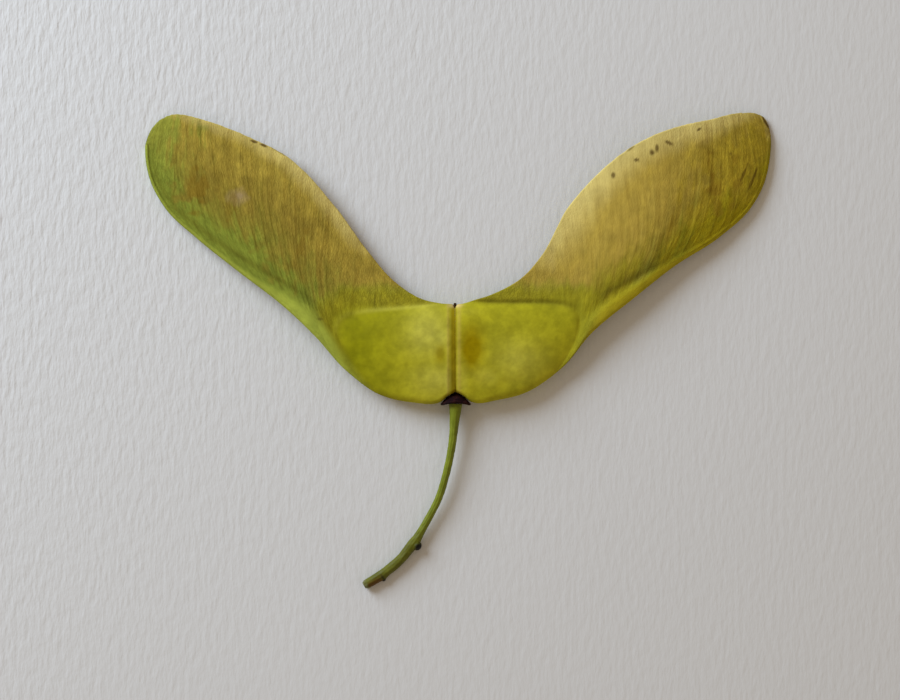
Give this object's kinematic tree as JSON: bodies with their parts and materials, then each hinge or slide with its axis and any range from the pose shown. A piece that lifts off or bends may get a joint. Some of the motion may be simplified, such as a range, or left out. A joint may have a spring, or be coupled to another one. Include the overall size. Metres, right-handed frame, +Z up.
{
  "type": "maple samara",
  "caption": "Dried maple key: winged nutlets joined along a seam, with veined wings spread wide, a dark receptacle and a curved cut stalk, lying flat.",
  "frame": {"origin": "on the surface that the fruit lies on, in the middle of its plan's box, which is close to the middle of the seam", "axes": "+Z up, +Y from the stalk towards the wing tips, +X to the right as seen from above with the stalk nearest"},
  "size_m": [0.0755, 0.0572, 0.0034],
  "materials": {
    "fruit_wall": "dry olive-green fruit wall, tan where the wing's sheet is thin",
    "stalk_skin": "smooth dull green stem, brown at its joints and its cut end",
    "receptacle_skin": "dull dark purple-brown",
    "style_skin": "dull dry brown"
  },
  "bodies": {
    "root": {"samara_left": "fruit_wall", "samara_right": "fruit_wall", "receptacle": "receptacle_skin", "stalk": "stalk_skin", "style_remnant": "style_skin"}
  },
  "joints": []
}
